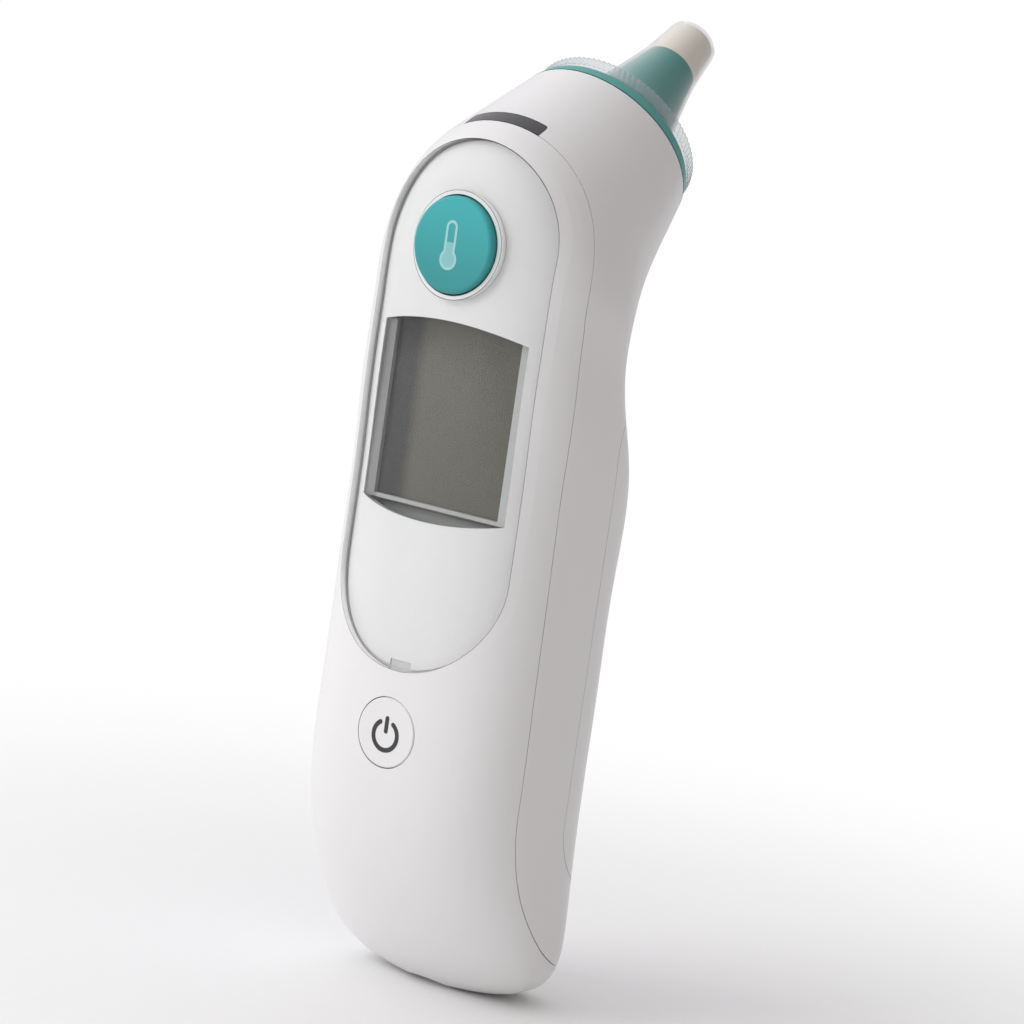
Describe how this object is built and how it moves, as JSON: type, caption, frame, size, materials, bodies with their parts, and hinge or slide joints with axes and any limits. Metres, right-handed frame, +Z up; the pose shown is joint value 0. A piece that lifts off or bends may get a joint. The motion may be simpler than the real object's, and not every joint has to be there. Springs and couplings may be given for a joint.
{
  "type": "digital ear thermometer",
  "caption": "Handheld infrared ear thermometer: rounded handle with display, start and power buttons, tilted probe head with ejector ring, clear lens filter and battery door.",
  "frame": {"origin": "under the middle of the outline, level with the foot", "axes": "+Z up the handle, -Y out of the display, +Y towards the back and the probe, X across the handle"},
  "size_m": [0.0416, 0.0578, 0.1541],
  "materials": {
    "white_shell": "polished",
    "clear_cover": "clear polished plastic",
    "printed_mask": "white printed film",
    "teal_button": "satin",
    "teal_plastic": "satin",
    "cream_plastic": "satin",
    "clear_film": "clear thin moulding",
    "dark_lens": "smoked, polished",
    "bezel_grey": "satin",
    "lcd": "display glass",
    "diffuser": "translucent",
    "zebra": "conductive elastomer",
    "board": "solder mask",
    "chip": "moulded",
    "switch_metal": "stamped",
    "lamp": "clear package",
    "brass": "plain",
    "silicone": "silicone",
    "tray_plastic": "moulded",
    "battery_jacket": "printed sleeve",
    "spring_steel": "nickel plated",
    "screw_steel": "zinc plated",
    "gold_tube": "gold plated",
    "aluminium": "machined",
    "window_glass": "coated silicon",
    "pin_plastic": "moulded",
    "cable_jacket": "soft jacket",
    "connector_plastic": "moulded"
  },
  "bodies": {
    "handle": {"front_housing": "white_shell", "rear_housing": "white_shell", "display_cover": "clear_cover", "cover_mask": "printed_mask", "signal_light_lens": "dark_lens", "lcd_frame": "bezel_grey", "lcd_glass": "lcd", "backlight_diffuser": "diffuser", "contact_strip": "zebra", "main_board": "board", "microcontroller": "chip", "start_switch": "switch_metal", "power_switch": "switch_metal", "signal_light": "lamp", "beeper": "brass", "sensor_connector": "connector_plastic", "board_screws": "screw_steel", "case_screws": "screw_steel", "start_key_pad": "silicone", "power_key_pad": "silicone", "battery_tray": "tray_plastic", "battery_left": "battery_jacket", "battery_right": "battery_jacket", "bridge_contact": "spring_steel", "terminal_contacts": "spring_steel", "contact_springs": "spring_steel", "probe_cone": "teal_plastic", "probe_tip": "cream_plastic", "probe_window": "window_glass", "wave_guide": "gold_tube", "infrared_sensor": "brass", "sensor_holder": "aluminium", "probe_screws": "screw_steel", "ejector_spring": "spring_steel", "filter_switch": "chip", "sensor_cable": "cable_jacket"},
    "start_key": {"start_button": "teal_button"},
    "power_key": {"power_button": "white_shell"},
    "battery_cover": {"battery_door": "white_shell"},
    "ejector": {"ejector_ring": "teal_plastic"},
    "detector": {"filter_pin": "pin_plastic"},
    "filter": {"lens_filter": "clear_film"}
  },
  "joints": [
    {"name": "start_press", "type": "slide", "parent": "handle", "child": "start_key", "axis": [0, 1, 0], "range_m": [0, 0.0008]},
    {"name": "power_press", "type": "slide", "parent": "handle", "child": "power_key", "axis": [0, 1, 0], "range_m": [0, 0.0005]},
    {"name": "battery_door_off", "type": "slide", "parent": "handle", "child": "battery_cover", "axis": [0, 1, 0], "range_m": [0, 0.03]},
    {"name": "ejector_slide", "type": "slide", "parent": "handle", "child": "ejector", "axis": [0, 0.7547, 0.6561], "range_m": [0, 0.0035], "deforming": ["ejector_spring"]},
    {"name": "pin_slide", "type": "slide", "parent": "handle", "child": "detector", "axis": [0, 0.7547, 0.6561], "range_m": [0, 0.0012]},
    {"name": "filter_off", "type": "slide", "parent": "ejector", "child": "filter", "axis": [0, 0.7547, 0.6561], "range_m": [0, 0.035]}
  ],
  "couplings": [
    {"joint": "pin_slide", "follows": "ejector_slide", "ratio": 0.34286}
  ]
}
